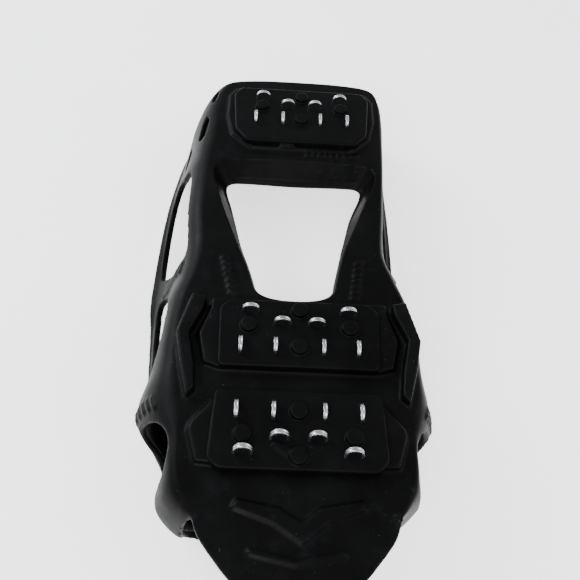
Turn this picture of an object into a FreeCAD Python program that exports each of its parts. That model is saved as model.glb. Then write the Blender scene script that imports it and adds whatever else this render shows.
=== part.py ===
import FreeCAD, Part
import Sketcher
import math
import os

# Overshoe ice cleat, lying on its rim with the tread up.
# +X is the wearer's side to side, +Y runs from the toe to the heel and +Z points out of the tread.
# The rim of the shoe opening lies at height 0, and the origin is under the middle of the outline.

DIMENSIONS = [
    # The harness: a thin moulded shell, open at the rim, in three sections that flex at two seams.
    ("sheet_top", 42.0, "height of the sole sheet's outer face above the rim"),
    ("sheet_thick", 3.0, "thickness of the sole sheet"),
    ("wall_thick", 2.6, "thickness of the side walls"),
    ("half_length", 136.0, "half of the overall length at the rim"),
    ("ball_seam", -50.0, "where the sole flexes under the ball of the foot"),
    ("arch_seam", 30.0, "where the sole flexes under the arch"),
    ("seam_gap", 1.2, "half of the gap at a seam, at the sole sheet"),
    ("ball_rim_gap", 8.6, "half of the gap at the ball seam, at the rim"),
    ("arch_rim_gap", 5.0, "half of the gap at the arch seam, at the rim"),
    ("ball_rim_width", 55.5, "half width at the rim under the ball"),
    ("ball_sole_width", 44.0, "half width of the sole sheet under the ball"),
    ("waist_place", -12.0, "where the harness starts to narrow towards the arch"),
    ("waist_rim_width", 56.0, "half width at the rim there"),
    ("waist_sole_width", 45.5, "half width of the sole sheet there"),
    ("arch_rim_width", 51.5, "half width at the rim at the arch seam"),
    ("arch_sole_width", 40.5, "half width of the sole sheet at the arch seam"),
    ("heel_place", 108.0, "where the heel starts to round off"),
    ("heel_rim_width", 53.0, "half width at the rim there"),
    ("heel_sole_width", 40.5, "half width of the sole sheet there"),
    ("heel_sole_end", 129.0, "rear end of the sole sheet"),
    ("toe_place", -86.0, "where the toe starts to narrow"),
    ("toe_rim_width", 49.0, "half width at the rim there"),
    ("toe_sole_width", 41.0, "half width of the sole sheet there"),
    ("tip_place", -116.0, "where the toe starts to round off"),
    ("tip_rim_width", 28.0, "half width at the rim there"),
    ("tip_sole_width", 23.0, "half width of the sole sheet there"),
    ("tip_sole_end", -130.0, "front end of the sole sheet"),
    # The opening in the sole under the arch of the foot.
    ("arch_front", -10.0, "toe end of the arch opening"),
    ("arch_back", 66.0, "heel end of the arch opening"),
    ("arch_front_width", 17.0, "half width of the arch opening at its toe end"),
    ("arch_back_width", 34.0, "half width of the arch opening at its heel end"),
    # The windows in the side walls, between the straps that carry the rim.
    ("window_low", 9.0, "lower edge of the windows"),
    ("window_high", 31.0, "upper edge of the windows"),
    ("window_slant", 7.0, "how far a strap between two windows leans"),
    ("toe_window", -83.0, "front end of the toe window"),
    ("ball_window", -27.0, "front end of the ball window"),
    ("arch_window_front", 2.0, "front end of the arch window ahead of the seam"),
    ("arch_window_back", 36.0, "front end of the arch window behind the seam"),
    ("heel_window", 78.0, "front end of the heel window"),
    ("window_length", 19.0, "length of a window"),
    # The chevron lugs on the outer edge of the ball section.
    ("lug_top", 45.5, "height of the chevron lugs' top"),
    ("lug_root", 38.5, "height where the lugs grow out of the sheet"),
    ("lug_front", -46.0, "toe end of a lug, which stops short of the seam"),
    ("lug_back", -11.5, "heel end of a lug"),
    ("lug_peak", -29.0, "where a lug's chevron points outwards"),
    ("lug_end_width", 38.5, "inner edge of a lug's ends"),
    ("lug_peak_width", 42.5, "inner edge of a lug's peak"),
    ("lug_bar", 5.0, "width of a lug's bar"),
    # The tread pads.
    ("pad_thick", 4.5, "thickness of a tread pad"),
    ("pad_bevel", 0.9, "bevel around a pad's top"),
    ("fore_row", -62.0, "cross row of the fore pad's lengthwise cleats"),
    ("mid_row", -35.5, "cross row of the mid pad's lengthwise cleats"),
    ("heel_row", 94.0, "cross row of the heel pad's lengthwise cleats"),
    ("pad_near", 8.5, "pad edge on the near side of its row"),
    ("pad_far", 21.5, "pad edge on the far side of its row"),
    ("pad_width", 31.5, "half width of the mid and fore pads"),
    ("pad_corner", 4.0, "cut at a pad's corners"),
    ("wing_width", 37.0, "half width across the wings of the mid and fore pads"),
    ("wing_near", 2.0, "wing edge on the near side of the row"),
    ("wing_far", 16.0, "wing edge on the far side of the row"),
    ("heel_pad_near", 15.0, "heel pad edge on the near side of its row"),
    ("heel_pad_far", 24.0, "heel pad edge on the far side of its row"),
    ("heel_pad_width", 34.5, "half width of the heel pad"),
    ("boss_radius", 3.2, "radius of a pad's round bosses"),
    ("boss_height", 1.9, "height of a pad's round bosses"),
    ("boss_side", 19.8, "distance of the side bosses from the middle"),
    ("boss_side_far", 9.2, "distance of the side bosses from the row"),
    ("boss_end_far", 16.6, "distance of the end boss from the row"),
    # The cleats: steel strip bent into an arch, with its feet clinched under the pad.
    ("cleat_span", 7.4, "outer width of a cleat's arch"),
    ("cleat_rise", 4.4, "height of a cleat above its pad"),
    ("cleat_gauge", 1.2, "thickness of the strip"),
    ("cleat_strip", 1.7, "width of the strip"),
    ("cleat_foot", 1.4, "length of a clinched foot outside its leg"),
    ("slot_play", 0.05, "play of a cleat in its slot, each side"),
    ("row_outer", 22.5, "distance of the outer lengthwise cleats from the middle"),
    ("row_inner", 9.2, "distance of the inner lengthwise cleats from the middle"),
    ("cross_outer", 19.4, "distance of the outer crosswise cleats from the middle"),
    ("cross_inner", 6.8, "distance of the inner crosswise cleats from the middle"),
    ("cross_outer_far", 16.0, "distance of the outer crosswise cleats from the row"),
    ("cross_inner_far", 10.4, "distance of the inner crosswise cleats from the row"),
]
OVERRUN = 5.0  # how far a cutting profile runs past the face that it opens
SMALL = 1e-7

document = FreeCAD.newDocument("ice_cleat")
sheet = document.addObject("Spreadsheet::Sheet", "Dimensions")


class Size:
    """A length from the sheet, with the expression that gives it."""

    def __init__(self, value, text):
        self.value = value
        self.text = text

    def __add__(self, other):
        other = as_size(other)
        return Size(self.value + other.value, "(%s + %s)" % (self.text, other.text))

    def __sub__(self, other):
        other = as_size(other)
        return Size(self.value - other.value, "(%s - %s)" % (self.text, other.text))

    def __mul__(self, other):
        other = as_size(other)
        return Size(self.value * other.value, "(%s * %s)" % (self.text, other.text))

    def __truediv__(self, other):
        other = as_size(other)
        return Size(self.value / other.value, "(%s / %s)" % (self.text, other.text))

    def __neg__(self):
        return Size(-self.value, "(-1 * %s)" % self.text)


def as_size(number):
    """The number itself if it is a Size already, or a fixed one."""
    if isinstance(number, Size):
        return number
    return Size(float(number), "%g" % number)


def fill_sheet():
    """Write the driving dimensions and return them by name."""
    sizes = {}
    for row, (alias, value, meaning) in enumerate(DIMENSIONS, start=1):
        sheet.set("A%d" % row, alias)
        sheet.set("B%d" % row, str(value))
        sheet.setAlias("B%d" % row, alias)
        sheet.set("C%d" % row, meaning)
        sizes[alias] = Size(value, "Dimensions." + alias)
    document.recompute()
    return sizes


D = fill_sheet()


# Sketches and features


def new_body(name):
    """An empty body whose label names its file."""
    body = document.addObject("PartDesign::Body", name)
    body.Label = name
    return body


def new_sketch(body, name, plane, height=None):
    """A sketch on one of the body's own origin planes, raised by height."""
    sketch = body.newObject("Sketcher::SketchObject", name)
    planes = [one for one in body.Origin.OriginFeatures if one.Role == plane]
    sketch.AttachmentSupport = [(planes[0], "")]
    sketch.MapMode = "FlatFace"
    if height is not None:
        height = as_size(height)
        sketch.AttachmentOffset = FreeCAD.Placement(FreeCAD.Vector(0, 0, height.value), FreeCAD.Rotation())
        sketch.setExpression("AttachmentOffset.Base.z", height.text)
    return sketch


def pin_point(sketch, curve, end, x, y):
    """Hold one end of a curve at a place that the sheet gives."""
    for kind, axis, size in (("DistanceX", -2, x), ("DistanceY", -1, y)):
        if abs(size.value) < SMALL:
            sketch.addConstraint(Sketcher.Constraint("PointOnObject", curve, end, axis))
            continue
        index = sketch.addConstraint(Sketcher.Constraint(kind, -1, 1, curve, end, size.value))
        sketch.setExpression("Constraints[%d]" % index, size.text)


def add_outline(sketch, corners, arc_from=None, arc_rise=None):
    """A closed outline through the corners, counterclockwise.

    The side that starts at corner arc_from is an arc which stands arc_rise out of its chord.
    """
    points = [FreeCAD.Vector(as_size(x).value, as_size(y).value, 0) for x, y in corners]
    first = sketch.GeometryCount
    count = len(points)
    for index in range(count):
        start = points[index]
        end = points[(index + 1) % count]
        if index == arc_from:
            outward = (end - start).cross(FreeCAD.Vector(0, 0, 1)).normalize()
            top = (start + end) * 0.5 + outward * arc_rise.value
            sketch.addGeometry(Part.Arc(start, top, end), False)
        else:
            sketch.addGeometry(Part.LineSegment(start, end), False)
    for index in range(count):
        follower = first + (index + 1) % count
        sketch.addConstraint(Sketcher.Constraint("Coincident", first + index, 2, follower, 1))
        x, y = corners[index]
        pin_point(sketch, first + index, 1, as_size(x), as_size(y))
    if arc_from is not None:
        half = as_size(corners[(arc_from + 1) % count][0])
        half = half if half.value > 0 else -half
        radius = (half * half + arc_rise * arc_rise) / (arc_rise * 2)
        index = sketch.addConstraint(Sketcher.Constraint("Radius", first + arc_from, radius.value))
        sketch.setExpression("Constraints[%d]" % index, radius.text)


def add_box(sketch, x, y, half_x, half_y):
    """A rectangle about a centre."""
    x = as_size(x)
    y = as_size(y)
    left = x - half_x
    right = x + half_x
    low = y - half_y
    high = y + half_y
    add_outline(sketch, [(left, low), (right, low), (right, high), (left, high)])


def add_circle(sketch, x, y, radius):
    """A circle about a centre."""
    x = as_size(x)
    y = as_size(y)
    centre = FreeCAD.Vector(x.value, y.value, 0)
    index = sketch.addGeometry(Part.Circle(centre, FreeCAD.Vector(0, 0, 1), radius.value), False)
    pin_point(sketch, index, 3, x, y)
    bound = sketch.addConstraint(Sketcher.Constraint("Radius", index, radius.value))
    sketch.setExpression("Constraints[%d]" % bound, radius.text)


def extrude(body, kind, sketch, length, both_ways=False, backwards=False):
    """A Pad or Pocket of a sketch."""
    feature = body.newObject("PartDesign::" + kind, sketch.Name + "_" + kind.lower())
    feature.Profile = sketch
    length = as_size(length)
    feature.Length = length.value
    feature.setExpression("Length", length.text)
    feature.Midplane = both_ways
    feature.Reversed = backwards
    sketch.Visibility = False
    document.recompute()
    return feature


def loft(body, kind, name, lower, upper):
    """A ruled AdditiveLoft or SubtractiveLoft between two sketches."""
    feature = body.newObject("PartDesign::" + kind, name)
    feature.Profile = lower
    feature.Sections = [upper]
    feature.Ruled = True
    document.recompute()
    return feature


def must_remove(body, before, name):
    """A cut that points away from the solid removes nothing, so its volume is compared."""
    if body.Shape.Volume > before - 1.0:
        raise RuntimeError(name + " cut nothing")


# The harness


def shell_section(body, rim, sole, inner_rim, inner_sole, arc_from=None, rises=None):
    """An open shell between a rim outline and a sole outline, hollow from below."""
    rises = rises or [None, None, None, None]
    lower = new_sketch(body, body.Name + "_rim", "XY_Plane")
    add_outline(lower, rim, arc_from, rises[0])
    upper = new_sketch(body, body.Name + "_sole", "XY_Plane", D["sheet_top"])
    add_outline(upper, sole, arc_from, rises[1])
    loft(body, "AdditiveLoft", body.Name + "_outside", lower, upper)
    before = body.Shape.Volume
    lower = new_sketch(body, body.Name + "_cavity_rim", "XY_Plane", 0)
    add_outline(lower, inner_rim, arc_from, rises[2])
    upper = new_sketch(body, body.Name + "_cavity_sole", "XY_Plane", D["sheet_top"] - D["sheet_thick"])
    add_outline(upper, inner_sole, arc_from, rises[3])
    loft(body, "SubtractiveLoft", body.Name + "_inside", lower, upper)
    must_remove(body, before, body.Name + " cavity")


def cut_window(body, name, front, slant):
    """A slanted window through both side walls."""
    sketch = new_sketch(body, name, "YZ_Plane")
    back = front + D["window_length"]
    low = D["window_low"]
    high = D["window_high"]
    add_outline(sketch, [(front, low), (back - slant, low), (back, high), (front + slant, high)])
    before = body.Shape.Volume
    extrude(body, "Pocket", sketch, D["half_length"], both_ways=True)
    must_remove(body, before, name)


def cut_arch(body, name, corners):
    """The part of the arch opening that lies in one section."""
    sketch = new_sketch(body, name, "XY_Plane", D["sheet_top"] + 1)
    add_outline(sketch, corners)
    before = body.Shape.Volume
    extrude(body, "Pocket", sketch, D["sheet_thick"] + 2)
    must_remove(body, before, name)


def arch_width_at(place):
    """Half width of the arch opening at a place along it."""
    share = (place - D["arch_front"]) / (D["arch_back"] - D["arch_front"])
    return D["arch_front_width"] + share * (D["arch_back_width"] - D["arch_front_width"])


def mirrored(half):
    """A counterclockwise outline from its right half, listed from its low end to its high end."""
    return list(half) + [(-x, y) for x, y in reversed(half)]


def make_toe_harness():
    """Toe section: the web under the toes and the cap's wall."""
    body = new_body("harness_toe")
    wall = D["wall_thick"]
    seam_low = D["ball_seam"] - D["ball_rim_gap"]
    seam_high = D["ball_seam"] - D["seam_gap"]
    rim = mirrored([(D["tip_rim_width"], D["tip_place"]), (D["toe_rim_width"], D["toe_place"]),
                    (D["ball_rim_width"], seam_low)])
    sole = mirrored([(D["tip_sole_width"], D["tip_place"]), (D["toe_sole_width"], D["toe_place"]),
                     (D["ball_sole_width"], seam_high)])
    inner_rim = mirrored([(D["tip_rim_width"] - wall, D["tip_place"]),
                          (D["toe_rim_width"] - wall, D["toe_place"]),
                          (D["ball_rim_width"] - wall, seam_low + OVERRUN)])
    inner_sole = mirrored([(D["tip_sole_width"] - wall, D["tip_place"]),
                           (D["toe_sole_width"] - wall, D["toe_place"]),
                           (D["ball_sole_width"] - wall, seam_high + OVERRUN)])
    rim_rise = D["half_length"] + D["tip_place"]
    sole_rise = D["tip_place"] - D["tip_sole_end"]
    rises = [rim_rise, sole_rise, rim_rise - wall, sole_rise - wall]
    front_side = len(rim) - 1
    shell_section(body, rim, sole, inner_rim, inner_sole, front_side, rises)
    cut_window(body, "toe_window_cut", D["toe_window"], D["window_slant"])
    return body


def make_heel_harness():
    """Heel section: the heel cup and the rear ends of the arch straps."""
    body = new_body("harness_heel")
    wall = D["wall_thick"]
    seam_low = D["arch_seam"] + D["arch_rim_gap"]
    seam_high = D["arch_seam"] + D["seam_gap"]
    rim = mirrored([(D["arch_rim_width"], seam_low), (D["heel_rim_width"], D["heel_place"])])
    sole = mirrored([(D["arch_sole_width"], seam_high), (D["heel_sole_width"], D["heel_place"])])
    inner_rim = mirrored([(D["arch_rim_width"] - wall, seam_low - OVERRUN),
                          (D["heel_rim_width"] - wall, D["heel_place"])])
    inner_sole = mirrored([(D["arch_sole_width"] - wall, seam_high - OVERRUN),
                           (D["heel_sole_width"] - wall, D["heel_place"])])
    rim_rise = D["half_length"] - D["heel_place"]
    sole_rise = D["heel_sole_end"] - D["heel_place"]
    rises = [rim_rise, sole_rise, rim_rise - wall, sole_rise - wall]
    shell_section(body, rim, sole, inner_rim, inner_sole, 1, rises)
    start = seam_high - OVERRUN
    width = arch_width_at(start)
    back = D["arch_back"]
    back_width = D["arch_back_width"]
    corners = mirrored([(width, start), (back_width, back - D["pad_corner"]),
                        (back_width - D["pad_corner"], back)])
    cut_arch(body, "heel_arch_cut", corners)
    cut_window(body, "rear_arch_window_cut", D["arch_window_back"], D["window_slant"])
    cut_window(body, "heel_window_cut", D["heel_window"], D["window_slant"])
    return body


def make_ball_harness():
    """Ball section: the web under the mid pad, the front ends of the arch straps and the lugs."""
    body = new_body("harness_ball")
    wall = D["wall_thick"]
    front_low = D["ball_seam"] + D["ball_rim_gap"]
    front_high = D["ball_seam"] + D["seam_gap"]
    back_low = D["arch_seam"] - D["arch_rim_gap"]
    back_high = D["arch_seam"] - D["seam_gap"]
    waist = D["waist_place"]
    rim = mirrored([(D["ball_rim_width"], front_low), (D["waist_rim_width"], waist),
                    (D["arch_rim_width"], back_low)])
    sole = mirrored([(D["ball_sole_width"], front_high), (D["waist_sole_width"], waist),
                     (D["arch_sole_width"], back_high)])
    inner_rim = mirrored([(D["ball_rim_width"] - wall, front_low - OVERRUN),
                          (D["waist_rim_width"] - wall, waist),
                          (D["arch_rim_width"] - wall, back_low + OVERRUN)])
    inner_sole = mirrored([(D["ball_sole_width"] - wall, front_high - OVERRUN),
                           (D["waist_sole_width"] - wall, waist),
                           (D["arch_sole_width"] - wall, back_high + OVERRUN)])
    shell_section(body, rim, sole, inner_rim, inner_sole)
    end = back_high + OVERRUN
    corners = mirrored([(D["arch_front_width"], D["arch_front"]), (arch_width_at(end), end)])
    cut_arch(body, "ball_arch_cut", corners)
    cut_window(body, "ball_window_cut", D["ball_window"], D["window_slant"])
    cut_window(body, "front_arch_window_cut", D["arch_window_front"], D["window_slant"])
    sketch = new_sketch(body, "lugs", "XY_Plane", D["lug_root"])
    for side in (1, -1):
        add_lug(sketch, side)
    extrude(body, "Pad", sketch, D["lug_top"] - D["lug_root"])
    return body


def add_lug(sketch, side):
    """One chevron bar whose peak points outwards; side is 1 for +X and -1 for -X."""
    front = D["lug_front"]
    bar = D["lug_bar"]
    inner = [(D["lug_end_width"], front), (D["lug_peak_width"], D["lug_peak"]),
             (D["lug_end_width"], D["lug_back"])]
    outer = [(D["lug_end_width"] + bar, D["lug_back"]), (D["lug_peak_width"] + bar, D["lug_peak"]),
             (D["lug_end_width"] + bar, front)]
    corners = inner + outer
    corners = [(x * side, y) for x, y in corners]
    if side > 0:
        corners = list(reversed(corners))
    add_outline(sketch, corners)


# The cleats and their pads


def cleat_places(row, far):
    """Middle and turn of a pad's eight cleats; far is 1 where the pad reaches +Y and -1 where -Y."""
    places = []
    for x in (-D["row_outer"], -D["row_inner"], D["row_inner"], D["row_outer"]):
        places.append((x, row, 90))
    for x in (-D["cross_outer"], -D["cross_inner"], D["cross_inner"], D["cross_outer"]):
        is_outer = abs(x.value) > D["row_inner"].value
        offset = D["cross_outer_far"] if is_outer else D["cross_inner_far"]
        places.append((x, row + offset * far, 0))
    return places


def make_cleat(name, place):
    """A strip bent into an arch, with legs through the pad and feet clinched under it."""
    body = new_body(name)
    x, y, turn = place
    radius = D["cleat_span"] / 2
    gauge = D["cleat_gauge"]
    spring = D["cleat_rise"] - radius
    bottom = -D["pad_thick"]
    foot = radius + D["cleat_foot"]
    inner = radius - gauge
    outline = new_sketch(body, name + "_outline", "XZ_Plane")
    add_outline(outline, [(-radius, bottom), (radius, bottom), (radius, spring), (-radius, spring)],
                2, radius - SMALL)
    extrude(body, "Pad", outline, D["cleat_strip"], both_ways=True)
    feet = new_sketch(body, name + "_feet", "XZ_Plane")
    add_outline(feet, [(-foot, bottom), (foot, bottom), (foot, bottom + gauge), (-foot, bottom + gauge)])
    extrude(body, "Pad", feet, D["cleat_strip"], both_ways=True)
    before = body.Shape.Volume
    eye = new_sketch(body, name + "_eye", "XZ_Plane")
    low = bottom - 1
    add_outline(eye, [(-inner, low), (inner, low), (inner, spring), (-inner, spring)],
                2, inner - SMALL)
    extrude(body, "Pocket", eye, D["cleat_strip"] * 2, both_ways=True)
    must_remove(body, before, name + " eye")
    top = D["sheet_top"] + D["pad_thick"]
    body.Placement = FreeCAD.Placement(FreeCAD.Vector(x.value, y.value, top.value),
                                       FreeCAD.Rotation(FreeCAD.Vector(0, 0, 1), turn))
    for axis, size in (("x", x), ("y", y), ("z", top)):
        body.setExpression("Placement.Base." + axis, size.text)
    return body


def turned(half_long, half_wide, turn):
    """Half sizes along X and Y of a box whose long side lies along X, or along Y when turned."""
    return (half_wide, half_long) if turn else (half_long, half_wide)


def make_pad(name, row, far, outline, bevel):
    """A tread pad with its bosses and with the slots and recesses of its cleats."""
    body = new_body(name)
    base = D["sheet_top"]
    sketch = new_sketch(body, name + "_outline", "XY_Plane", base)
    add_outline(sketch, outline)
    pad = extrude(body, "Pad", sketch, D["pad_thick"])
    top = (base + D["pad_thick"]).value
    rim = []
    for index, edge in enumerate(pad.Shape.Edges, start=1):
        if all(abs(vertex.Z - top) < SMALL for vertex in edge.Vertexes):
            rim.append("Edge%d" % index)
    chamfer = body.newObject("PartDesign::Chamfer", name + "_bevel")
    chamfer.Base = (pad, rim)
    chamfer.Size = bevel.value
    chamfer.setExpression("Size", bevel.text)
    document.recompute()
    bosses = new_sketch(body, name + "_bosses", "XY_Plane", base + D["pad_thick"])
    add_circle(bosses, 0, row, D["boss_radius"])
    add_circle(bosses, 0, row + D["boss_end_far"] * far, D["boss_radius"])
    for side in (D["boss_side"], -D["boss_side"]):
        add_circle(bosses, side, row + D["boss_side_far"] * far, D["boss_radius"])
    extrude(body, "Pad", bosses, D["boss_height"])
    play = D["slot_play"]
    radius = D["cleat_span"] / 2
    half_gauge = D["cleat_gauge"] / 2
    half_strip = D["cleat_strip"] / 2 + play
    slots = new_sketch(body, name + "_slots", "XY_Plane", base + D["pad_thick"] + 1)
    recesses = new_sketch(body, name + "_recesses", "XY_Plane", base)
    for x, y, turn in cleat_places(row, far):
        half_x, half_y = turned(half_gauge + play, half_strip, turn)
        for side in (1, -1):
            reach = (radius - half_gauge) * side
            leg_x = x if turn else x + reach
            leg_y = y + reach if turn else y
            add_box(slots, leg_x, leg_y, half_x, half_y)
        half_x, half_y = turned(radius + D["cleat_foot"] + play, half_strip, turn)
        add_box(recesses, x, y, half_x, half_y)
    before = body.Shape.Volume
    extrude(body, "Pocket", slots, D["pad_thick"] + 2)
    must_remove(body, before, name + " slots")
    before = body.Shape.Volume
    extrude(body, "Pocket", recesses, D["cleat_gauge"] + play, backwards=True)
    must_remove(body, before, name + " recesses")
    return body


def winged_outline(row, far):
    """Outline of the mid and fore pads: a plate with cut corners and a wing at each side."""
    corner = D["pad_corner"]
    wide = D["pad_width"]
    half = [(wide - corner, row + D["pad_far"] * far), (wide, row + (D["pad_far"] - corner) * far),
            (wide, row + D["wing_far"] * far), (D["wing_width"], row + (D["wing_far"] - corner) * far),
            (D["wing_width"], row - (D["wing_near"] - corner) * far), (wide, row - D["wing_near"] * far),
            (wide, row - D["pad_near"] * far)]
    if far > 0:
        half = list(reversed(half))
    return mirrored(half)


def heel_outline():
    """Outline of the heel pad: a plate whose toe side tapers and has cut corners."""
    row = D["heel_row"]
    wide = D["heel_pad_width"]
    corner = D["pad_corner"]
    near = row - D["heel_pad_near"]
    back = row + D["heel_pad_far"]
    half = [(wide - corner * 2, near), (wide - corner / 2, near + corner * 2),
            (wide, back - corner), (wide - corner, back)]
    return mirrored(half)


def make_tread():
    """The three pads and their cleats."""
    bodies = []
    pads = (("heel", D["heel_row"], 1, heel_outline()),
            ("mid", D["mid_row"], 1, winged_outline(D["mid_row"], 1)),
            ("fore", D["fore_row"], -1, winged_outline(D["fore_row"], -1)))
    for zone, row, far, outline in pads:
        bodies.append(make_pad("tread_pad_" + zone, row, far, outline, D["pad_bevel"]))
        for number, place in enumerate(cleat_places(row, far), start=1):
            bodies.append(make_cleat("cleat_%s_%d" % (zone, number), place))
    return bodies


# Checks and files


def check_document(bodies):
    """Stop if any object failed or any sub-part has no sound shape."""
    for one in document.Objects:
        if any(mark in ("Invalid", "Error") for mark in one.State):
            raise RuntimeError("%s is %s" % (one.Label, one.State))
    for body in bodies:
        shape = body.Shape
        if shape.isNull() or not shape.isValid() or len(shape.Solids) != 1:
            raise RuntimeError("%s has no single sound solid" % body.Label)


def write_steps(bodies):
    """Write each sub-part to its own STEP file."""
    os.makedirs("parts", exist_ok=True)
    for body in bodies:
        body.Shape.exportStep("parts/%s.step" % body.Label)


def main():
    """Build every sub-part, check it and write it."""
    bodies = [make_toe_harness(), make_ball_harness(), make_heel_harness()]
    bodies += make_tread()
    document.recompute()
    check_document(bodies)
    whole = bodies[0].Shape.BoundBox
    for body in bodies:
        whole.add(body.Shape.BoundBox)
        print("%-16s %9.1f mm3" % (body.Label, body.Shape.Volume))
    print("box", whole)
    write_steps(bodies)


main()
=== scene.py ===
import math

import bmesh
import bpy
import numpy as np
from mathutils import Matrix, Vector, geometry


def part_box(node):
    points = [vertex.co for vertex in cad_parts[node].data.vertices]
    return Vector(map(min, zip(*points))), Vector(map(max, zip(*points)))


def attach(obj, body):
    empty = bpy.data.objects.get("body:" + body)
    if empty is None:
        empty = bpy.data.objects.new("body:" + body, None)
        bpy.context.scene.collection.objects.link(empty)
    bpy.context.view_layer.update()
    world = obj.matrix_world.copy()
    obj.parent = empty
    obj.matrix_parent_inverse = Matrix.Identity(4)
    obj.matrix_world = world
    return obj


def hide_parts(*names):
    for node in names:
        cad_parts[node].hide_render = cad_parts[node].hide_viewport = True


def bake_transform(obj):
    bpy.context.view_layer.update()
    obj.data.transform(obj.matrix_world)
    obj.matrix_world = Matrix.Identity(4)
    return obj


# Overshoe ice cleat, lying on its rim with the tread up: +Z out of the tread, +Y from toe to heel.
# Shapes are worked out in millimetres and turned into metres when an object is made.

MM = 0.001
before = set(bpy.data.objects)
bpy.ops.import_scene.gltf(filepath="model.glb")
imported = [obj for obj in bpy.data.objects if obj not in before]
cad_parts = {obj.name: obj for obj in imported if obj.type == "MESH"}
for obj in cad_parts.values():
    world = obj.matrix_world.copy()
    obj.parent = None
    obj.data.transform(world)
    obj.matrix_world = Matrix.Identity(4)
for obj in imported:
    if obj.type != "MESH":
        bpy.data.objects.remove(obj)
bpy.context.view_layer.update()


def node_box(node):
    """Lowest and highest corner of a CAD node, in millimetres."""
    low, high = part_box(node)
    return np.array(low) / MM, np.array(high) / MM


SHEET_TOP = node_box("harness_toe")[1][2]
SKIN = 2.8           # thickness of the moulded rubber
RIM = 1.75           # radius of the rolled bead along the rim
RIB = 0.95           # radius of the short raised ribs
BULGE = 23.0         # height of the middle of the side walls
SPLIT = -24.0        # where the harness is cut into its front and rear pieces, under the mid pad


# Small tools


def smooth_step(low, high, x):
    """0 below low, 1 above high, smooth between."""
    share = np.clip((np.asarray(x, float) - low) / (high - low), 0.0, 1.0)
    return share * share * (3 - 2 * share)


def chaikin(points, rounds=3):
    """A closed polygon with its corners cut until it is round."""
    points = np.array(points, float)
    for _ in range(rounds):
        following = np.roll(points, -1, axis=0)
        cut = np.stack([points * 0.75 + following * 0.25, points * 0.25 + following * 0.75], axis=1)
        points = cut.reshape(-1, points.shape[1])
    return points


def inside(polygon, points):
    """Which points lie in a polygon, by crossings of a ray."""
    x, y = np.asarray(points, float).T
    result = np.zeros(len(x), bool)
    for (x0, y0), (x1, y1) in zip(polygon, np.roll(polygon, -1, axis=0)):
        if y0 == y1:
            continue
        crosses = (y0 > y) != (y1 > y)
        result ^= crosses & (x < (x1 - x0) * (y - y0) / (y1 - y0) + x0)
    return result


def nearest_on(polygon, points):
    """The nearest point of a polygon's outline to each point, and its distance."""
    points = np.asarray(points, float)
    best = np.full(len(points), np.inf)
    place = points.copy()
    for start, end in zip(polygon, np.roll(polygon, -1, axis=0)):
        side = end - start
        length = max(float(side @ side), 1e-9)
        share = np.clip(((points - start) @ side) / length, 0, 1)
        candidate = start + share[:, None] * side
        distance = np.linalg.norm(points - candidate, axis=1)
        closer = distance < best
        best[closer] = distance[closer]
        place[closer] = candidate[closer]
    return place, best


def smooth_rows(rows, count):
    """A closed smooth line through rows of numbers, as count rows (Catmull-Rom)."""
    rows = np.asarray(rows, float)
    total = len(rows)
    place = np.arange(count) * total / count
    base = place.astype(int)
    share = (place - base)[:, None]
    before, here, after, beyond = (rows[(base + step) % total] for step in (-1, 0, 1, 2))
    return 0.5 * (2 * here + (after - before) * share
                  + (2 * before - 5 * here + 4 * after - beyond) * share ** 2
                  + (3 * here - before - 3 * after + beyond) * share ** 3)


def new_object(name, points, faces):
    """A mesh object from points in millimetres."""
    mesh = bpy.data.meshes.new(name)
    mesh.from_pydata([tuple(float(c) * MM for c in p) for p in points], [], [tuple(f) for f in faces])
    mesh.update()
    thing = bpy.data.objects.new(name, mesh)
    bpy.context.scene.collection.objects.link(thing)
    return thing


def apply_modifiers(thing):
    """Bake an object's modifiers into its mesh."""
    graph = bpy.context.evaluated_depsgraph_get()
    mesh = bpy.data.meshes.new_from_object(thing.evaluated_get(graph))
    old = thing.data
    thing.modifiers.clear()
    thing.data = mesh
    bpy.data.meshes.remove(old)
    return thing


def join(name, parts):
    """One object from several."""
    whole = bmesh.new()
    for part in parts:
        whole.from_mesh(part.data)
        old = part.data
        bpy.data.objects.remove(part)
        bpy.data.meshes.remove(old)
    mesh = bpy.data.meshes.new(name)
    whole.to_mesh(mesh)
    whole.free()
    thing = bpy.data.objects.new(name, mesh)
    bpy.context.scene.collection.objects.link(thing)
    return thing


def mould(name, parts, voxel, softness):
    """Closed parts melted into one moulding, with small fillets where they meet."""
    thing = join(name, parts)
    remesh = thing.modifiers.new("melt", "REMESH")
    remesh.mode = "VOXEL"
    remesh.voxel_size = voxel * MM
    soften = thing.modifiers.new("soften", "SMOOTH")
    soften.factor = 0.5
    soften.iterations = softness
    apply_modifiers(thing)
    thing.data.polygons.foreach_set("use_smooth", [True] * len(thing.data.polygons))
    return thing


def band_faces(rings, count, wrap=False):
    """Quads between rings of count points; wrap also joins the last ring to the first."""
    faces = []
    for ring in range(rings if wrap else rings - 1):
        here = ring * count
        there = (ring + 1) % rings * count
        for i in range(count):
            n = (i + 1) % count
            faces.append((here + i, here + n, there + n, there + i))
    return faces


def end_faces(rings, count):
    """The two faces that close the first and the last ring."""
    last = (rings - 1) * count
    return [tuple(reversed(range(count))), tuple(range(last, last + count))]


def prism(name, outline, low, high, draft=0.0):
    """A closed block on an outline; draft pulls its top in on every side."""
    outline = np.asarray(outline, float)
    count = len(outline)
    middle = outline.mean(axis=0)
    arms = outline - middle
    lengths = np.linalg.norm(arms, axis=1, keepdims=True)
    top = middle + arms * (1 - draft / np.maximum(lengths, 1e-6))
    points = [(x, y, low) for x, y in outline] + [(x, y, high) for x, y in top]
    return new_object(name, points, end_faces(2, count) + band_faces(2, count))


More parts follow.
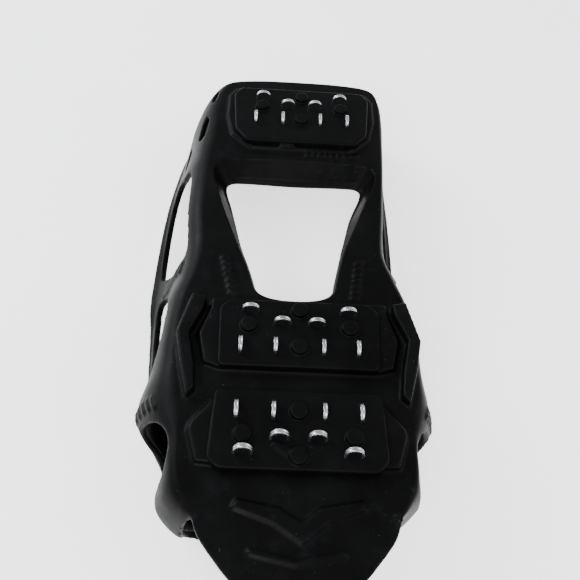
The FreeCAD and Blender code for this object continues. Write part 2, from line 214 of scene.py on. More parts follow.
def tube(name, line, radius, sides=10, closed=True, flat=1.0):
    """A closed tube along a line of points; radius may be a number or one for each point."""
    line = np.asarray(line, float)
    count = len(line)
    radii = np.broadcast_to(np.asarray(radius, float), (count,))
    if closed:
        tangents = np.roll(line, -1, axis=0) - np.roll(line, 1, axis=0)
    else:
        tangents = np.gradient(line, axis=0)
    points = []
    for centre, tangent, r in zip(line, tangents, radii):
        tangent = tangent / max(np.linalg.norm(tangent), 1e-9)
        across = np.cross(tangent, (0, 0, 1))
        if np.linalg.norm(across) < 1e-3:
            across = np.array((1.0, 0, 0))
        across = across / np.linalg.norm(across)
        up = np.cross(across, tangent)
        for step in range(sides):
            angle = 2 * math.pi * step / sides
            points.append(centre + r * (math.cos(angle) * across + flat * math.sin(angle) * up))
    faces = band_faces(count, sides, closed)
    if not closed:
        faces += end_faces(count, sides)
    return new_object(name, points, faces)


# The harness shell

# Stations from the toe tip along the +X side to the heel: place along Y and half width of the sole
# sheet's shoulder, of the wall at mid height, and of the rim.
STATIONS = [
    (-131.0, 0.0, -134.0, 0.0, -132.0, 0.0),
    (-127.5, 11.0, -131.5, 8.0, -130.0, 6.0),
    (-118.5, 21.0, -125.0, 13.0, -123.0, 10.5),
    (-111.5, 27.5, -115.0, 16.0, -113.0, 12.5),
    (-104.5, 33.0, -108.0, 22.0, -103.0, 20.5),
    (-98.5, 35.5, -103.0, 32.0, -96.5, 29.0),
    (-94.5, 37.5, -100.3, 40.5, -92.0, 38.0),
    (-88.0, 40.5, -92.0, 48.0, -87.5, 44.0),
    (-80.0, 42.5, -81.0, 48.5, -81.0, 45.5),
    (-71.0, 43.0, -71.0, 49.5, -71.0, 47.5),
    (-62.0, 43.5, -62.0, 56.5, -61.0, 52.5),
    (-52.0, 45.5, -52.0, 58.0, -52.0, 54.5),
    (-40.0, 47.0, -40.0, 55.5, -40.0, 55.5),
    (-26.0, 47.5, -26.0, 54.5, -26.0, 56.0),
    (-10.0, 45.0, -9.0, 53.5, -8.0, 56.0),
    (3.0, 41.0, 3.0, 51.0, 3.0, 56.5),
    (17.0, 38.5, 17.0, 48.0, 17.0, 56.5),
    (40.0, 40.5, 40.0, 49.0, 40.0, 56.5),
    (65.0, 41.5, 65.0, 50.0, 65.0, 56.0),
    (88.0, 41.0, 88.0, 50.0, 88.0, 55.0),
    (107.0, 41.0, 108.0, 50.0, 108.0, 53.5),
    (119.5, 39.8, 123.0, 47.0, 123.0, 49.5),
    (126.5, 35.5, 132.0, 38.5, 132.0, 39.5),
    (129.0, 21.0, 135.5, 21.0, 135.0, 21.0),
    (129.5, 0.0, 136.0, 0.0, 135.5, 0.0),
]
# How the relaxed rubber sways sideways: place along Y, then the shift of the shoulder, of the wall at
# mid height and of the rim, and the height of the rim.
SWAY = np.array([
    (-136.0, 0.0, 0.0, 0.0, 1.9),
    (-100.0, 0.0, -1.5, -2.0, 2.2),
    (-60.0, -0.5, -4.0, -5.0, 3.0),
    (-25.0, -1.0, -4.5, -7.0, 5.0),
    (3.0, -2.5, -5.5, -9.5, 7.5),
    (17.0, -3.5, -7.5, -9.8, 8.0),
    (40.0, -3.5, -8.5, -9.5, 8.0),
    (65.0, -2.5, -8.0, -9.0, 7.0),
    (88.0, -1.0, -6.5, -8.0, 4.5),
    (110.0, -0.5, -5.5, -6.0, 2.8),
    (136.0, 0.0, -2.5, -3.0, 1.9),
])
AROUND = 460         # samples along the outline
DOWN = 34            # samples down the wall
WALL = 47.0          # length of the wall from shoulder to rim, measured along its surface
TUCK = 5.0           # how far the toe lobe on the +X side is tucked back
SHOULDER_PULL = 0.62    # where the wall turns down, from its shoulder (0) out to its middle (1)
FLARE = 0.35         # how far the wall carries on past its middle in the same direction before it turns in
GRID = 2.4           # spacing of the sole sheet's inner points

# Windows between the straps, as corners (place along Y, distance down the wall).
WINDOWS = {
    "corner_slit": [(111, 6), (117, 4.5), (123, 5), (124, 8), (117, 8.5)],
    "heel_slit": [(85, 10), (92, 7), (100, 6.5), (103, 9.5), (96, 12), (87, 13.5)],
    "heel_gap": [(79, 21), (88, 20), (94, 23), (93, 29), (82, 31)],
    "arch": [(14, 13), (16, 12), (30, 11.5), (50, 11.5), (66, 12), (72, 24), (77, 36), (72, 41), (40, 42),
             (19, 42), (16, 40), (13, 20)],
    "ball": [(-9, 14), (-3, 20), (1, 28), (3.5, 36), (0, 40), (-20, 41), (-40, 40), (-51, 36), (-47, 26),
             (-34, 16), (-20, 12.5)],
    "fore": [(-63, 14), (-66, 9), (-71, 7.5), (-77, 8), (-84, 13), (-87, 24), (-84, 36), (-74, 39.5),
             (-66, 38), (-61.5, 26)],
    "toe": [(-101.6, 14), (-102.6, 5), (-104, -2), (-125, -2), (-127.5, 3), (-129.5, 14), (-127, 36),
            (-114, 41), (-104, 41), (-101.5, 37), (-101.2, 24)],
}
ARCH_OPENING = [(15.5, -11), (-15.5, -11), (-18.5, 2), (-22.5, 15), (-28.5, 31), (-34.5, 48), (-38.5, 60),
                (-38, 67), (-31, 70.5), (31, 70.5), (38, 67), (38.5, 60), (34.5, 48), (28.5, 31),
                (22.5, 15), (18.5, 2)]


def sway(place, column):
    """A column of SWAY at places along Y."""
    return np.interp(place, SWAY[:, 0], SWAY[:, column])


def arch_outline():
    """The arch opening's rounded outline, swayed with the sheet."""
    outline = chaikin(ARCH_OPENING, 3)
    outline[:, 0] += sway(outline[:, 1], 1)
    return outline


def full_stations():
    """The stations of both sides as a closed ring of rows (x, y) of shoulder, mid wall and rim."""
    right = [(s, t, b, u, r, v) for t, s, u, b, v, r in STATIONS]
    left = [(-s, t, -b, u, -r, v) for s, t, b, u, r, v in reversed(right[1:-1])]
    rows = np.array(right + left)
    for level in range(3):
        rows[:, 2 * level] += sway(rows[:, 2 * level + 1], level + 1)
    return rows


def wall_point(row, share):
    """A point of the wall, share of the way from the shoulder to the rim."""
    sx, sy, bx, by, rx, ry = row
    shoulder = np.array((sx, sy, SHEET_TOP))
    middle = np.array((bx, by, BULGE))
    rim = np.array((rx, ry, sway(ry, 4)))
    corner = shoulder * (1 - SHOULDER_PULL) + middle * SHOULDER_PULL
    corner[2] = SHEET_TOP - 1.0
    if share < 0.5:
        a, b, c, part = shoulder, corner, middle, share * 2
    else:
        over = middle + (middle - corner) * FLARE
        control = over * 0.5 + (middle + rim) * 0.25
        a, b, c, part = middle, control, rim, share * 2 - 1
    return a * (1 - part) ** 2 + b * 2 * part * (1 - part) + c * part ** 2


class Wall:
    """The side wall as a grid of points, reached by place along Y and distance down it."""

    def __init__(self):
        rows = smooth_rows(full_stations(), AROUND)
        self.place = rows[:, 3].copy()
        for level in (3, 5):
            lobe = smooth_step(-84, -97, rows[:, level]) * smooth_step(-118, -106, rows[:, level])
            rows[:, level] += TUCK * lobe * (rows[:, 2] > 0)
        self.grid = np.array([[wall_point(row, j / DOWN) for j in range(DOWN + 1)] for row in rows])

    def at(self, side, y, drop):
        """The point of one side's wall at a place and a distance down."""
        half = AROUND // 2
        index = np.arange(half + 1) if side > 0 else np.arange(half, AROUND)
        order = np.argsort(self.place[index])
        column = np.interp(y, self.place[index][order], index[order])
        row = np.clip(drop / WALL * DOWN, 0, DOWN - 1e-6)
        i, j = int(column), int(row)
        a, b = column - i, row - j
        n = (i + 1) % AROUND
        return ((self.grid[i, j] * (1 - a) + self.grid[n, j] * a) * (1 - b)
                + (self.grid[i, j + 1] * (1 - a) + self.grid[n, j + 1] * a) * b)


def window_outlines():
    """Each window's rounded outline, in places along Y and distances down the wall."""
    return [chaikin(corners, 3) for corners in WINDOWS.values()]


def make_wall(wall):
    """The side wall with its windows cut out: points and faces."""
    down = np.arange(DOWN + 1) * WALL / DOWN
    flat = np.stack(np.meshgrid(wall.place, down, indexing="ij"), axis=-1)
    beside = np.roll(flat, -1, axis=0)
    centres = (flat[:, :-1] + beside[:, :-1] + flat[:, 1:] + beside[:, 1:]) / 4
    outlines = window_outlines()
    removed = np.zeros(AROUND * DOWN, bool)
    for outline in outlines:
        removed |= inside(outline, centres.reshape(-1, 2))
    removed = removed.reshape(AROUND, DOWN)
    width = DOWN + 1
    faces = []
    touched = set()
    for i in range(AROUND):
        n = (i + 1) % AROUND
        for j in range(DOWN):
            quad = (i * width + j, n * width + j, n * width + j + 1, i * width + j + 1)
            if removed[i, j]:
                touched.update(quad)
            else:
                faces.append(quad)
    points = wall.grid.reshape(-1, 3).copy()
    flat = flat.reshape(-1, 2)
    border = sorted(touched & {corner for face in faces for corner in face})
    found = [nearest_on(outline, flat[border]) for outline in outlines]
    closest = np.argmin([distance for _, distance in found], axis=0)
    for number, corner in enumerate(border):
        side = 1 if corner // width <= AROUND // 2 else -1
        points[corner] = wall.at(side, *found[closest[number]][0][number])
    return points, faces


def make_sole(shoulder):
    """The flat sole sheet inside the shoulder line, with the arch opening cut out."""
    opening = arch_outline()
    outline = shoulder[:, :2]
    xs = np.arange(-48, 48, GRID)
    ys = np.arange(-134, 134, GRID)
    field = np.array([(x + (GRID / 2) * (k % 2), y) for k, y in enumerate(ys) for x in xs])
    free = inside(outline, field) & ~inside(opening, field)
    for line in (outline, opening):
        free &= nearest_on(line, field)[1] > GRID * 0.6
    corners = [Vector(p) for p in outline] + [Vector(p) for p in opening] + [Vector(p) for p in field[free]]
    edges = [(i, (i + 1) % len(outline)) for i in range(len(outline))]
    first = len(outline)
    edges += [(first + i, first + (i + 1) % len(opening)) for i in range(len(opening))]
    flat, _, triangles, *_ = geometry.delaunay_2d_cdt(corners, edges, [], 0, 1e-5)
    flat = np.array([tuple(p) for p in flat])
    centres = np.array([flat[list(t)].mean(axis=0) for t in triangles])
    keep = inside(outline, centres) & ~inside(opening, centres)
    faces = [tuple(t) for t, kept in zip(triangles, keep) if kept]
    points = np.column_stack([flat, np.full(len(flat), SHEET_TOP)])
    return points, faces


def make_shell(wall):
    """The harness's rubber skin: wall and sole sheet, thickened inwards."""
    wall_points, wall_faces = make_wall(wall)
    sole_points, sole_faces = make_sole(wall.grid[:, 0])
    points = np.vstack([wall_points, sole_points])
    faces = wall_faces + [tuple(i + len(wall_points) for i in face) for face in sole_faces]
    shell = new_object("shell", points, faces)
    mesh = bmesh.new()
    mesh.from_mesh(shell.data)
    bmesh.ops.remove_doubles(mesh, verts=mesh.verts, dist=0.05 * MM)
    loose = [vert for vert in mesh.verts if not vert.link_faces]
    bmesh.ops.delete(mesh, geom=loose, context="VERTS")
    bmesh.ops.recalc_face_normals(mesh, faces=mesh.faces)
    highest = max(mesh.faces, key=lambda face: face.calc_center_median().z)
    if highest.normal.z < 0:
        bmesh.ops.reverse_faces(mesh, faces=mesh.faces)
    mesh.to_mesh(shell.data)
    mesh.free()
    thicken = shell.modifiers.new("thicken", "SOLIDIFY")
    thicken.thickness = SKIN * MM
    thicken.offset = -1.0
    return apply_modifiers(shell)


def make_rim(wall):
    """The rolled bead along the rim of the shoe opening."""
    line = wall.grid[:, -1].copy()
    line[:, :2] *= 1 - 0.8 / np.linalg.norm(line[:, :2], axis=1, keepdims=True)
    return tube("rim", line, RIM)


def make_flange():
    """The flange that hangs from the arch opening's edge, deep at the heel and shallow at the toe."""
    outline = arch_outline()
    middle = outline.mean(axis=0)
    arms = (outline - middle) / np.linalg.norm(outline - middle, axis=1, keepdims=True)
    heelward = smooth_step(8, 62, outline[:, 1])
    depth = 3.5 + 7.5 * heelward
    inward = 0.4 + 4.6 * heelward
    outer = outline + arms * 1.8
    top = np.full(len(outer), SHEET_TOP - 0.6)
    low = SHEET_TOP - depth
    levels = [
        np.column_stack([outer, top]),
        np.column_stack([outer - arms * inward[:, None], low]),
        np.column_stack([outline - arms * (inward[:, None] + 0.9), low - 0.4]),
        np.column_stack([outline - arms * (inward[:, None] + 0.9), low + 1.3]),
        np.column_stack([outline - arms * 0.1, top]),
    ]
    skirt = new_object("skirt", np.vstack(levels), band_faces(len(levels), len(outline), True))
    bead = np.column_stack([outline - arms * (inward[:, None] + 0.6), low + 0.3])
    return join("flange", [skirt, tube("bead", bead, 0.5 + 1.1 * heelward)])


def both_sides(outline):
    """An outline and its mirror image, both counterclockwise."""
    outline = np.asarray(outline, float)
    return [outline, (outline * (-1, 1))[::-1]]


def make_lugs():
    """The chevron lugs and the low platforms around the pads."""
    chevron = [(38.6, -54), (39.8, -44), (43.0, -29.5), (38.2, -18), (37.6, -12.8), (43.4, -11.6),
               (48.2, -29.6), (45.4, -43), (41.4, -57)]
    parts = []
    for outline in both_sides(chevron):
        parts.append(prism("lug", outline, SHEET_TOP - 5, SHEET_TOP + 4.6, 0.5))
    mid = [(39.6, -29.5), (36.2, -19), (35.4, -12.8), (-35.4, -12.8), (-36.2, -19), (-39.6, -29.5),
           (-36.8, -42), (-31, -44), (31, -44), (36.8, -42)]
    parts.append(prism("mid_platform", mid, SHEET_TOP - 2, SHEET_TOP + 3.0, 0.5))
    wings = [(29, -57.5), (31.5, -56.5), (39.5, -66), (40, -69), (36, -81), (29, -81.5)]
    for outline in both_sides(wings):
        parts.append(prism("fore_wing", outline, SHEET_TOP - 2, SHEET_TOP + 2.6, 0.6))
    heel = [(24, 76.6), (34.6, 86), (37.6, 100), (37.6, 115), (34, 121), (-34, 121), (-37.6, 115),
            (-37.6, 100), (-34.6, 86), (-24, 76.6)]
    parts.append(prism("heel_platform", heel, SHEET_TOP - 2, SHEET_TOP + 1.5, 0.7))
    return parts


def make_ribs(wall):
    """The raised chevrons on the toe web, and the short ribs on the straps, lobes and heel bar."""
    chevron = [(-21.5, -92.5), (-23, -95.5), (-9, -100.5), (1.8, -107.5), (12, -99.5), (24.5, -95),
               (23, -92), (8.5, -94.5), (1.8, -100.5), (-7, -95)]
    parts = [prism("toe_chevron", chevron, SHEET_TOP - 2, SHEET_TOP + 1.3, 0.9)]
    high = SHEET_TOP + 0.1
    line = [(x, -112.5 + 3.2 * abs(x) / 16, high) for x in np.linspace(-16, 16, 25)]
    parts.append(tube("toe_line", line, 1.1, closed=False))
    for x in np.arange(3, 28, 3.0):
        parts.append(tube("bar_rib", [(x, 73.4, high), (x + 0.6, 76.0, high)], RIB, 8, False, 1.3))
    parts.append(prism("size_tab", [(-10.5, 77.8), (-3.5, 77.8), (-3.5, 80.5), (-10.5, 80.5)],
                       SHEET_TOP - 1, SHEET_TOP + 3.2))
    for side in (-1, 1):
        for y in np.arange(-9, 10, 3.0):
            x = side * (23.3 + 0.2 * (y + 8)) + sway(y, 1)
            line = [(x, y, high), (x + side * 3.8, y + 0.8, high)]
            parts.append(tube("strap_rib", line, RIB, 8, False, 1.4))
        for drop in np.arange(13, 36, 3.0):
            line = [wall.at(side, y, drop) for y in np.linspace(4.5, 11, 6)]
            parts.append(tube("side_rib", line, RIB, 8, False))
        for drop in np.arange(11, 30, 3.2):
            line = [wall.at(side, y, drop + 0.35 * (y + 57)) for y in np.linspace(-59, -54, 5)]
            parts.append(tube("lobe_rib", line, RIB, 8, False))
    return parts


def make_lip(wall):
    """The rim's flat lip, which tucks in over the forefoot."""
    line = wall.grid[:, -1]
    reach = 1.0 + 13.0 * smooth_step(-36, -56, line[:, 1]) * smooth_step(-112, -100, line[:, 1])
    inward = line.copy()
    inward[:, 0] -= np.sign(line[:, 0]) * np.minimum(reach, 0.9 * np.abs(line[:, 0]))
    inward[:, 1] += 0.35 * (reach - 1.0) * smooth_step(-85, -100, line[:, 1])
    up = np.array((0, 0, 1.3))
    levels = [line + up, line - up, inward - up, inward + up]
    return new_object("lip", np.vstack(levels), band_faces(len(levels), len(line), True))


def make_toe_strap():
    """The strap that comes back over the toes from the tongue's tip to the rim."""
    outline = [(4.5, -130.5), (9.5, -122.5), (11.5, -112.5), (14.5, -104.5), (-20.5, -104.5),
               (-13.5, -112.5), (-11, -122.5), (-5, -130.5)]
    return prism("toe_strap", chaikin(outline, 2), 0.6, 3.4)


def make_harness():
    """The whole moulded harness as one smooth mesh."""
    wall = Wall()
    parts = [make_shell(wall), make_rim(wall), make_flange(), make_lip(wall), make_toe_strap()]
    parts += make_lugs() + make_ribs(wall)
    voxel = 0.7
    return mould("harness", parts, voxel, 3)


def split_harness(harness):
    """Cut the harness at SPLIT, keeping its smooth shading across the cut."""
    pieces = []
    for name, keep_front in (("harness_front", True), ("harness_rear", False)):
        mesh = bmesh.new()
        mesh.from_mesh(harness.data)
        soft = mesh.verts.layers.float_vector.new("soft_normal")
        for vert in mesh.verts:
            vert[soft] = vert.normal
        geom = list(mesh.verts) + list(mesh.edges) + list(mesh.faces)
        bmesh.ops.bisect_plane(mesh, geom=geom, plane_co=(0, SPLIT * MM, 0), plane_no=(0, 1, 0),
                               clear_outer=keep_front, clear_inner=not keep_front)
        bmesh.ops.triangulate(mesh, faces=[face for face in mesh.faces if len(face.verts) > 4])
        mesh.verts.index_update()
        normals = [tuple(vert[soft].normalized()) for vert in mesh.verts]
        data = bpy.data.meshes.new(name)
        mesh.to_mesh(data)
        mesh.free()
        data.polygons.foreach_set("use_smooth", [True] * len(data.polygons))
        data.normals_split_custom_set_from_vertices(normals)
        data.attributes.remove(data.attributes["soft_normal"])
        thing = bpy.data.objects.new(name, data)
        bpy.context.scene.collection.objects.link(thing)
        pieces.append(thing)
    bpy.data.objects.remove(harness)
    return pieces


# The tread pads


def rounded(corners, radius, steps=6):
    """A closed outline whose corners are rounded off."""
    corners = np.asarray(corners, float)
    result = []
    for before, here, after in zip(np.roll(corners, 1, axis=0), corners, np.roll(corners, -1, axis=0)):
        back, ahead = before - here, after - here
        reach = min(radius, 0.45 * np.linalg.norm(back), 0.45 * np.linalg.norm(ahead))
        start = here + back / np.linalg.norm(back) * reach
        end = here + ahead / np.linalg.norm(ahead) * reach
        for part in np.linspace(0, 1, steps):
            result.append(start * (1 - part) ** 2 + here * 2 * part * (1 - part) + end * part ** 2)
    return np.array(result)


def shrunk(outline, distance):
    """A counterclockwise outline moved inwards."""
    along = np.roll(outline, -1, axis=0) - np.roll(outline, 1, axis=0)
    along = along / np.maximum(np.linalg.norm(along, axis=1, keepdims=True), 1e-9)
    return outline + np.column_stack([-along[:, 1], along[:, 0]]) * distance


def bevelled(name, outline, low, high, bevel):
    """A closed block with a rounded top edge."""
    levels = [(0.0, low), (0.0, high - bevel), (bevel * 0.3, high - bevel * 0.3), (bevel, high)]
    count = len(outline)
    points = [(x, y, z) for inset, z in levels for x, y in shrunk(outline, inset)]
    return new_object(name, points, end_faces(len(levels), count) + band_faces(len(levels), count))


def circle(x, y, radius, steps=36):
    """A round outline."""
    angles = np.arange(steps) * 2 * math.pi / steps
    return np.column_stack([x + radius * np.cos(angles), y + radius * np.sin(angles)])


def pad_zone(zone):
    """A pad's CAD box, the place of its first cleat along Y, and which way the pad reaches from there."""
    low, high = node_box("tread_pad_" + zone)
    first = np.mean(node_box("cleat_%s_1" % zone), axis=0)
    return low, high, first[1], (1 if zone != "fore" else -1)


PAD_HALF_WIDTH = 31.5
PLATE = 4.5          # height of a pad's plate above the sole sheet
BOSS_RADIUS = 3.3
MIDDLE_BOSS = 16.6   # from the first middle boss, in line with cleat 1, to the second
SIDE_BOSS = (19.8, 9.2)    # a side boss's place: out from the middle, and along from the first middle boss


def make_pad(zone):
    """One tread pad: a plate with bevelled edges and four round bosses."""
    low, high, row, far = pad_zone(zone)
    plate_top = SHEET_TOP + PLATE
    near_edge, far_edge = (low[1], high[1]) if far > 0 else (high[1], low[1])
    if zone == "heel":
        corners = [(-26.5, near_edge), (26.5, near_edge), (32.5, near_edge + 8), (34.5, far_edge - 5),
                   (31, far_edge), (-31, far_edge), (-34.5, far_edge - 5), (-32.5, near_edge + 8)]
    else:
        wide = PAD_HALF_WIDTH
        corners = [(-wide + 0.5, near_edge), (wide - 0.5, near_edge), (wide + 0.6, far_edge - 4 * far),
                   (wide - 3.4, far_edge), (-wide + 3.4, far_edge), (-wide - 0.6, far_edge - 4 * far)]
        if far < 0:
            corners = corners[::-1]
    parts = [bevelled("plate", rounded(corners, 2.2), SHEET_TOP - 0.8, plate_top, 0.9)]
    top = high[2]
    aside, along = SIDE_BOSS
    bosses = [(0, row), (0, row + MIDDLE_BOSS * far), (aside, row + along * far), (-aside, row + along * far)]
    for x, y in bosses:
        parts.append(bevelled("boss", circle(x, y, BOSS_RADIUS), plate_top - 1, top, 0.5))
    if zone == "fore":
        y = row - MIDDLE_BOSS
        for side in (-1, 1):
            wing = [(side * 2.0, y - 1.6), (side * 9.5, y + 3.4), (side * 8.2, y + 5.2),
                    (side * 1.2, y + 2.2)]
            if side < 0:
                wing = wing[::-1]
            parts.append(bevelled("wing", rounded(wing, 1.0), plate_top - 1, plate_top + 0.9, 0.4))
    voxel = 0.36
    return mould("pad_" + zone, parts, voxel, 2)


# The cleats

STRIP = 1.7          # width of the strip at the crown
GAUGE = 1.2          # thickness of the strip
RADIUS = 3.7         # outer radius of the arch
RISE = 4.4           # height of the arch above the pad
LEAN = {"fore": 0.3, "mid": 0.08, "heel": 0.0}    # how far the crosswise cleats lean back, as a slope
LEG_WIDTH = 0.7      # width of the strip at the legs, as a share of its width at the crown


def make_cleat(node):
    """One steel cleat: channelled strip swept over an arch, with its legs sunk in the pad."""
    low, high = node_box(node)
    middle = (low + high) / 2
    lengthwise = high[1] - low[1] > high[0] - low[0]
    inner = RADIUS - GAUGE
    spring = high[2] - RADIUS
    half = STRIP / 2
    lean = 0.0 if lengthwise else LEAN[node.split("_")[1]]
    section = [(-half, 0.12), (-half, 0.95), (-0.72, 1.15), (-0.55, GAUGE), (-0.38, 1.15), (-0.28, 1.04),
               (0.28, 1.04), (0.38, 1.15), (0.55, GAUGE), (0.72, 1.15), (half, 0.95), (half, 0.12),
               (0.72, 0.0), (-0.72, 0.0)]
    path = [(math.pi, -2.4), (math.pi, -1.2)]
    path += [(math.pi * (1 - k / 26), 0.0) for k in range(27)]
    path += [(0.0, -1.2), (0.0, -2.4)]
    points = []
    for angle, drop in path:
        taper = LEG_WIDTH + (1 - LEG_WIDTH) * math.sin(angle)
        for across, out in section:
            reach = (inner + out) * math.cos(angle)
            rise = spring + (inner + out) * math.sin(angle) + drop
            x, y = (across * taper, reach) if lengthwise else (reach, across * taper)
            back = lean * (rise - high[2] + RISE)
            points.append((middle[0] + x, middle[1] + y + back, rise))
    faces = band_faces(len(path), len(section)) + end_faces(len(path), len(section))
    thing = new_object("steel_" + node, points, faces)
    mesh = bmesh.new()
    mesh.from_mesh(thing.data)
    bmesh.ops.recalc_face_normals(mesh, faces=mesh.faces)
    mesh.to_mesh(thing.data)
    mesh.free()
    thing.data.polygons.foreach_set("use_smooth", [True] * len(thing.data.polygons))
    smooth = thing.modifiers.new("round", "SUBSURF")
    smooth.levels = 1
    smooth.render_levels = 1
    return apply_modifiers(thing)


# Materials


class Graph:
    """A material's node tree with short calls."""

    def __init__(self, name):
        self.material = bpy.data.materials.new(name)
        self.material.use_nodes = True
        self.tree = self.material.node_tree
        self.shader = self.tree.nodes["Principled BSDF"]
        self.place = self.tree.nodes.new("ShaderNodeTexCoord").outputs["Object"]

    def add(self, kind, **inputs):
        """A node whose inputs are numbers, colours or links."""
        node = self.tree.nodes.new(kind)
        for name, value in inputs.items():
            self.put(node.inputs[name.replace("_", " ")], value)
        return node

    def put(self, socket, value):
        """Give a socket a number or a link."""
        if isinstance(value, bpy.types.NodeSocket):
            self.tree.links.new(value, socket)
        else:
            socket.default_value = value

    def noise(self, scale, detail=4.0, rough=0.55, vector=None):
        """Noise over the object's own place."""
        node = self.add("ShaderNodeTexNoise", Scale=scale, Detail=detail, Roughness=rough,
                        Vector=vector or self.place)
        return node.outputs["Fac"]

    def span(self, value, low, high, to_low=0.0, to_high=1.0):
        """A value mapped from one range to another."""
        node = self.add("ShaderNodeMapRange", Value=value)
        node.inputs["From Min"].default_value = low
        node.inputs["From Max"].default_value = high
        node.inputs["To Min"].default_value = to_low
        node.inputs["To Max"].default_value = to_high
        return node.outputs["Result"]

    def mix(self, share, first, second):
        """Two colours mixed by a share."""
        node = self.tree.nodes.new("ShaderNodeMix")
        node.data_type = "RGBA"
        self.put(node.inputs["Factor"], share)
        self.put(node.inputs["A"], first)
        self.put(node.inputs["B"], second)
        return node.outputs["Result"]

    def maths(self, operation, first, second):
        """A Math node."""
        node = self.tree.nodes.new("ShaderNodeMath")
        node.operation = operation
        self.put(node.inputs[0], first)
        self.put(node.inputs[1], second)
        return node.outputs["Value"]

    def bump(self, height, strength, distance, below=None):
        """A Bump node, on top of another one."""
        node = self.add("ShaderNodeBump", Height=height, Strength=strength, Distance=distance)
        if below is not None:
            self.put(node.inputs["Normal"], below)
        return node.outputs["Normal"]


def rubber_material(name, dark, grey, painted_sheen, gloss):
    """Moulded rubber: fine grain, a painted bluish sheen in patches, dust, and edges painted paler as a
    highlight that also stands for rubbed wear.
    """
    graph = Graph(name)
    grain = graph.noise(1400.0, 3.0)
    patch = graph.noise(38.0, 5.0, 0.6)
    # Patches of this noise get a painted bluish sheen in the colour; the same noise also varies the
    # roughness.
    sheen_and_gloss_patches = graph.noise(110.0, 6.0, 0.7)
    base = graph.mix(graph.span(patch, 0.38, 0.68), dark, grey)
    base = graph.mix(graph.span(sheen_and_gloss_patches, 0.55, 0.8, 0.0, 0.35), base, painted_sheen)
    # Convex edges (high pointiness) are painted paler toward the sheen colour: a painted highlight that also
    # stands for rubbed wear.
    edge = graph.tree.nodes.new("ShaderNodeNewGeometry").outputs["Pointiness"]
    edge_highlight_and_wear = graph.span(edge, 0.52, 0.62, 0.0, 0.45)
    base = graph.mix(edge_highlight_and_wear, base, painted_sheen)
    specks = graph.noise(900.0, 1.0)
    base = graph.mix(graph.span(specks, 0.76, 0.8, 0.0, 0.4), base, (0.06, 0.065, 0.07, 1))
    graph.put(graph.shader.inputs["Base Color"], base)
    rough = graph.maths("ADD", graph.span(sheen_and_gloss_patches, 0.3, 0.75, gloss - 0.07, gloss + 0.09),
                        graph.span(grain, 0.3, 0.7, -0.04, 0.04))
    graph.put(graph.shader.inputs["Roughness"], rough)
    wave = graph.bump(graph.noise(75.0, 3.0, 0.5), 0.35, 0.0006)
    fine = graph.bump(grain, 0.22, 0.0001, wave)
    graph.put(graph.shader.inputs["Normal"], fine)
    graph.shader.inputs["IOR"].default_value = 1.45
    graph.shader.inputs["Specular IOR Level"].default_value = 0.07
    return graph.material


def steel_material():
    """Bright rolled steel strip with fine scratches and darker marks."""
    graph = Graph("cleat_steel_look")
    stretch = graph.add("ShaderNodeMapping", Vector=graph.place, Scale=(1.0, 1.0, 6.0))
    scratch = graph.noise(2600.0, 3.0, 0.6, stretch.outputs["Vector"])
    stain = graph.noise(420.0, 4.0, 0.6)
    base = graph.mix(graph.span(stain, 0.35, 0.75), (0.56, 0.57, 0.59, 1), (0.30, 0.31, 0.33, 1))
    graph.put(graph.shader.inputs["Base Color"], base)
    graph.shader.inputs["Metallic"].default_value = 1.0
    graph.put(graph.shader.inputs["Roughness"], graph.span(scratch, 0.3, 0.7, 0.14, 0.34))
    graph.put(graph.shader.inputs["Normal"], graph.bump(scratch, 0.25, 0.00006))
    return graph.material


def floor_material():
    """Plain pale surface with a faint mottle."""
    graph = Graph("floor_look")
    tone = graph.span(graph.noise(14.0, 4.0), 0.3, 0.7)
    graph.put(graph.shader.inputs["Base Color"], graph.mix(tone, (0.86, 0.86, 0.86, 1), (0.9, 0.9, 0.9, 1)))
    graph.shader.inputs["Roughness"].default_value = 0.75
    graph.shader.inputs["Emission Color"].default_value = (1, 1, 1, 1)
    graph.shader.inputs["Emission Strength"].default_value = 1.6
    return graph.material


def dress(thing, material):
    """Give an object its only material."""
    thing.data.materials.clear()
    thing.data.materials.append(material)


# Stage, lights and camera


def make_floor():
    """A wide flat floor with a rounded outline."""
    height = -0.05
    steps = 64
    points = [(0, 0, height)] + [(x, y, height) for x, y in circle(0, 0, 3000, steps)]
    faces = [(0, 1 + k, 1 + (k + 1) % steps) for k in range(steps)]
    floor = new_object("floor", points, faces)
    dress(floor, floor_material())


def make_light(name, place, target, size, power, colour):
    """A soft square light aimed at a point."""
    light = bpy.data.lights.new(name, "AREA")
    light.shape = "SQUARE"
    light.size = size
    light.energy = power
    light.color = colour
    thing = bpy.data.objects.new(name, light)
    thing.location = place
    thing.rotation_euler = (Vector(target) - Vector(place)).to_track_quat("-Z", "Y").to_euler()
    bpy.context.scene.collection.objects.link(thing)


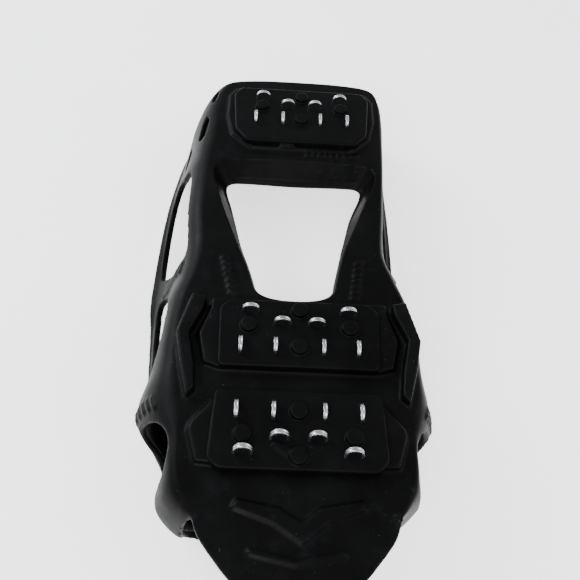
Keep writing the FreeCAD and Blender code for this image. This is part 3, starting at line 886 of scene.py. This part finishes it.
def make_lights():
    """A window light from behind on the left, two broad fills and a pale sky."""
    make_light("window", (-0.9, 0.6, 0.7), (0, 0, 0.03), 0.6, 14.0, (0.90, 0.96, 1.0))
    make_light("front", (-0.5, -1.2, 1.0), (0, 0, 0.03), 0.9, 22.0, (1.0, 0.99, 0.98))
    make_light("side", (1.2, -0.2, 1.0), (0, 0, 0.03), 0.9, 8.0, (1.0, 1.0, 1.0))
    world = bpy.data.worlds.new("sky")
    world.use_nodes = True
    world.node_tree.nodes["Background"].inputs["Color"].default_value = (0.95, 0.97, 1.0, 1)
    world.node_tree.nodes["Background"].inputs["Strength"].default_value = 0.85
    bpy.context.scene.world = world


def make_camera():
    """A hand-held close view from over the toe, looking down along the sole."""
    lens = bpy.data.cameras.new("camera")
    lens.lens = 40.0
    lens.clip_start = 0.01
    camera = bpy.data.objects.new("camera", lens)
    camera.location = (-0.0146, -0.1585, 0.2616)
    camera.rotation_euler = (math.radians(34.76), math.radians(-3.42), math.radians(0.89))
    bpy.context.scene.collection.objects.link(camera)
    bpy.context.scene.camera = camera


# Assembly

make_camera()
make_lights()
make_floor()
# The fourth colour of each rubber is its painted bluish sheen, also used for the painted edge highlight.
harness_look = rubber_material("harness_look", (0.0013, 0.0013, 0.0014, 1), (0.0034, 0.0035, 0.0036, 1),
                               (0.0105, 0.012, 0.013, 1), 0.44)
tread_look = rubber_material("tread_look", (0.0012, 0.0012, 0.0013, 1), (0.0025, 0.0026, 0.0027, 1),
                             (0.0075, 0.0078, 0.0083, 1), 0.48)
steel_look = steel_material()
front, rear = split_harness(make_harness())
for piece, slot in ((front, "harness_rubber"), (rear, "harness_rubber")):
    dress(piece, harness_look)
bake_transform(front)
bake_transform(rear)
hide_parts("harness_toe")
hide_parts("harness_heel", "harness_ball")
for zone, body in (("heel", "heel"), ("mid", "ball"), ("fore", "toe")):
    pad = make_pad(zone)
    dress(pad, tread_look)
    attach(pad, body)
    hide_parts("tread_pad_" + zone)
    for number in range(1, 9):
        node = "cleat_%s_%d" % (zone, number)
        cleat = make_cleat(node)
        dress(cleat, steel_look)
        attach(cleat, body)
        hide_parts(node)
